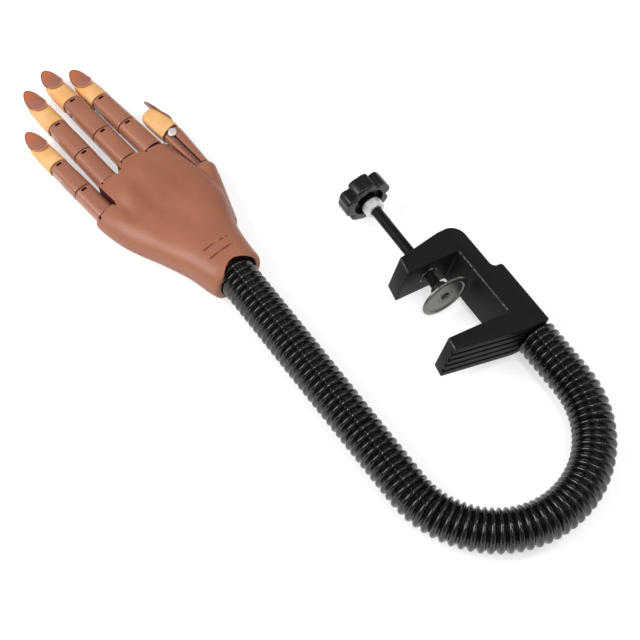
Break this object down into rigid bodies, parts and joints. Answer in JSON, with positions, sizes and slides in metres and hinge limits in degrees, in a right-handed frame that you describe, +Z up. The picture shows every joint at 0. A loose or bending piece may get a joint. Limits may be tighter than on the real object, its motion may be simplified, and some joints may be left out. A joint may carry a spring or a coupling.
{
  "type": "nail practice hand with clamp arm",
  "caption": "Jointed plastic practice hand with push-in nails, on a bendable ribbed hose arm with a screw clamp for a table edge.",
  "frame": {"origin": "middle of the underside of the bounding box, where the part lies on a table", "axes": "+Z up from the table, +Y the way the fingers point, +X from the hand towards the clamp"},
  "size_m": [0.2116, 0.5222, 0.0522],
  "materials": {
    "clamp_black": "satin black powder coat",
    "screw_black": "black oxide",
    "knob_black": "satin moulded plastic",
    "zinc": "bright zinc plate",
    "disc_steel": "dull pressed steel with a bright rim",
    "core_steel": "plain steel",
    "hose_black": "glossy ribbed",
    "skin_plastic": "satin moulded brown",
    "tip_cream": "satin moulded cream",
    "nail_gloss": "glossy"
  },
  "bodies": {
    "clamp": {"clamp_frame": "clamp_black", "jaw_nut": "zinc", "arm_socket": "core_steel", "socket_pin": "core_steel"},
    "pressure_pad": {"pressure_disc": "disc_steel"},
    "screw": {"clamp_screw": "screw_black", "disc_retainer": "disc_steel", "lock_nut": "zinc", "star_knob": "knob_black"},
    "arm_1": {"hose_section_1": "hose_black", "core_link_1": "core_steel"},
    "arm_2": {"hose_section_2": "hose_black", "core_link_2": "core_steel"},
    "arm_3": {"hose_section_3": "hose_black", "core_link_3": "core_steel"},
    "arm_4": {"hose_section_4": "hose_black", "core_link_4": "core_steel"},
    "arm_5": {"hose_section_5": "hose_black", "core_link_5": "core_steel"},
    "hand": {"hose_section_6": "hose_black", "wrist_plug": "core_steel", "back_shell": "skin_plastic", "palm_shell": "skin_plastic", "shell_screw_1": "core_steel", "shell_screw_2": "core_steel", "index_knuckle_pin": "core_steel", "middle_knuckle_pin": "core_steel", "ring_knuckle_pin": "core_steel", "little_knuckle_pin": "core_steel", "thumb_base_pin": "core_steel"},
    "index_1": {"index_proximal": "skin_plastic", "index_inner_pin": "core_steel"},
    "index_2": {"index_middle": "skin_plastic", "index_outer_pin": "core_steel"},
    "index_3": {"index_tip": "tip_cream"},
    "index_nail_tip": {"index_nail": "nail_gloss"},
    "middle_1": {"middle_proximal": "skin_plastic", "middle_inner_pin": "core_steel"},
    "middle_2": {"middle_middle": "skin_plastic", "middle_outer_pin": "core_steel"},
    "middle_3": {"middle_tip": "tip_cream"},
    "middle_nail_tip": {"middle_nail": "nail_gloss"},
    "ring_1": {"ring_proximal": "skin_plastic", "ring_inner_pin": "core_steel"},
    "ring_2": {"ring_middle": "skin_plastic", "ring_outer_pin": "core_steel"},
    "ring_3": {"ring_tip": "tip_cream"},
    "ring_nail_tip": {"ring_nail": "nail_gloss"},
    "little_1": {"little_proximal": "skin_plastic", "little_inner_pin": "core_steel"},
    "little_2": {"little_middle": "skin_plastic", "little_outer_pin": "core_steel"},
    "little_3": {"little_tip": "tip_cream"},
    "little_nail_tip": {"little_nail": "nail_gloss"},
    "thumb_1": {"thumb_proximal": "skin_plastic", "thumb_tip_pin": "zinc"},
    "thumb_2": {"thumb_tip": "tip_cream"},
    "thumb_nail_tip": {"thumb_nail": "nail_gloss"}
  },
  "joints": [
    {"name": "screw_travel", "type": "slide", "parent": "clamp", "child": "pressure_pad", "axis": [0.0523, 0.9986, 0], "range_m": [-0.035, 0.009]},
    {"name": "screw_turn", "type": "hinge", "parent": "pressure_pad", "child": "screw", "pos_m": [0.05689, -0.08526, 0.02761], "axis": [0.0523, 0.9986, 0], "range_deg": [-10080, 2592]},
    {"name": "arm_pitch_1", "type": "hinge", "parent": "clamp", "child": "arm_1", "pos_m": [0.08903, -0.17912, 0.01699], "axis": [-0.9986, 0.0523, 0], "range_deg": [-45, 45], "deforming": ["hose_section_1"]},
    {"name": "arm_yaw_2", "type": "hinge", "parent": "arm_1", "child": "arm_2", "pos_m": [0.05103, -0.23932, 0.01699], "axis": [0, 0, 1], "range_deg": [-9, 60], "deforming": ["hose_section_2"]},
    {"name": "arm_pitch_3", "type": "hinge", "parent": "arm_2", "child": "arm_3", "pos_m": [-0.01985, -0.23283, 0.01699], "axis": [0.5982, 0.8013, 0], "range_deg": [-50, 50], "deforming": ["hose_section_3"]},
    {"name": "arm_yaw_4", "type": "hinge", "parent": "arm_3", "child": "arm_4", "pos_m": [-0.04712, -0.16667, 0.01699], "axis": [0, 0, 1], "range_deg": [-14, 60], "deforming": ["hose_section_4"]},
    {"name": "arm_pitch_5", "type": "hinge", "parent": "arm_4", "child": "arm_5", "pos_m": [-0.04658, -0.09178, 0.01699], "axis": [1, -0.0073, 0], "range_deg": [-60, 60], "deforming": ["hose_section_5"]},
    {"name": "arm_yaw_6", "type": "hinge", "parent": "arm_5", "child": "hand", "pos_m": [-0.04603, -0.0169, 0.01699], "axis": [0, 0, 1], "range_deg": [-30, 60], "deforming": ["hose_section_6"]},
    {"name": "index_knuckle_hinge", "type": "hinge", "parent": "hand", "child": "index_1", "pos_m": [-0.03311, 0.13451, 0.016], "axis": [-0.9962, -0.0872, 0], "range_deg": [-4, 75]},
    {"name": "index_inner_hinge", "type": "hinge", "parent": "index_1", "child": "index_2", "pos_m": [-0.03605, 0.16811, 0.01364], "axis": [-0.9962, -0.0872, 0], "range_deg": [-1, 80]},
    {"name": "index_outer_hinge", "type": "hinge", "parent": "index_2", "child": "index_3", "pos_m": [-0.03902, 0.20204, 0.01066], "axis": [-0.9962, -0.0872, 0], "range_deg": [-1, 50]},
    {"name": "index_nail_slide", "type": "slide", "parent": "index_3", "child": "index_nail_tip", "axis": [-0.0867, 0.9907, -0.1045], "range_m": [0, 0.01]},
    {"name": "middle_knuckle_hinge", "type": "hinge", "parent": "hand", "child": "middle_1", "pos_m": [-0.05514, 0.13619, 0.016], "axis": [-0.998, -0.0628, 0], "range_deg": [-4, 75]},
    {"name": "middle_inner_hinge", "type": "hinge", "parent": "middle_1", "child": "middle_2", "pos_m": [-0.05738, 0.17185, 0.0135], "axis": [-0.998, -0.0628, 0], "range_deg": [-1, 80]},
    {"name": "middle_outer_hinge", "type": "hinge", "parent": "middle_2", "child": "middle_3", "pos_m": [-0.05994, 0.21251, 0.00994], "axis": [-0.998, -0.0628, 0], "range_deg": [-1, 50]},
    {"name": "middle_nail_slide", "type": "slide", "parent": "middle_3", "child": "middle_nail_tip", "axis": [-0.0624, 0.9926, -0.1045], "range_m": [0, 0.01]},
    {"name": "ring_knuckle_hinge", "type": "hinge", "parent": "hand", "child": "ring_1", "pos_m": [-0.07582, 0.12816, 0.016], "axis": [-0.9985, -0.0541, 0], "range_deg": [-4, 75]},
    {"name": "ring_inner_hinge", "type": "hinge", "parent": "ring_1", "child": "ring_2", "pos_m": [-0.07773, 0.16343, 0.01353], "axis": [-0.9985, -0.0541, 0], "range_deg": [-1, 80]},
    {"name": "ring_outer_hinge", "type": "hinge", "parent": "ring_2", "child": "ring_3", "pos_m": [-0.07969, 0.19964, 0.01036], "axis": [-0.9985, -0.0541, 0], "range_deg": [-1, 50]},
    {"name": "ring_nail_slide", "type": "slide", "parent": "ring_3", "child": "ring_nail_tip", "axis": [-0.0538, 0.9931, -0.1045], "range_m": [0, 0.01]},
    {"name": "little_knuckle_hinge", "type": "hinge", "parent": "hand", "child": "little_1", "pos_m": [-0.09158, 0.1052, 0.016], "axis": [-0.9962, -0.0872, 0], "range_deg": [-4, 75]},
    {"name": "little_inner_hinge", "type": "hinge", "parent": "little_1", "child": "little_2", "pos_m": [-0.09421, 0.13531, 0.01389], "axis": [-0.9962, -0.0872, 0], "range_deg": [-1, 80]},
    {"name": "little_outer_hinge", "type": "hinge", "parent": "little_2", "child": "little_3", "pos_m": [-0.09701, 0.16723, 0.01108], "axis": [-0.9962, -0.0872, 0], "range_deg": [-1, 50]},
    {"name": "little_nail_slide", "type": "slide", "parent": "little_3", "child": "little_nail_tip", "axis": [-0.0867, 0.9907, -0.1045], "range_m": [0, 0.01]},
    {"name": "thumb_base_hinge", "type": "hinge", "parent": "hand", "child": "thumb_1", "pos_m": [-0.0102, 0.10329, 0.013], "axis": [-0.2071, -0.0181, 0.9781], "range_deg": [-40, 1]},
    {"name": "thumb_tip_hinge", "type": "hinge", "parent": "thumb_1", "child": "thumb_2", "pos_m": [-0.01394, 0.14602, 0.013], "axis": [-0.2071, -0.0181, 0.9781], "range_deg": [-20, 9]},
    {"name": "thumb_nail_slide", "type": "slide", "parent": "thumb_2", "child": "thumb_nail_tip", "axis": [-0.0872, 0.9962, 0], "range_m": [0, 0.01]}
  ],
  "couplings": [
    {"joint": "screw_turn", "follows": "screw_travel", "rad_per_m": 5026.5}
  ]
}
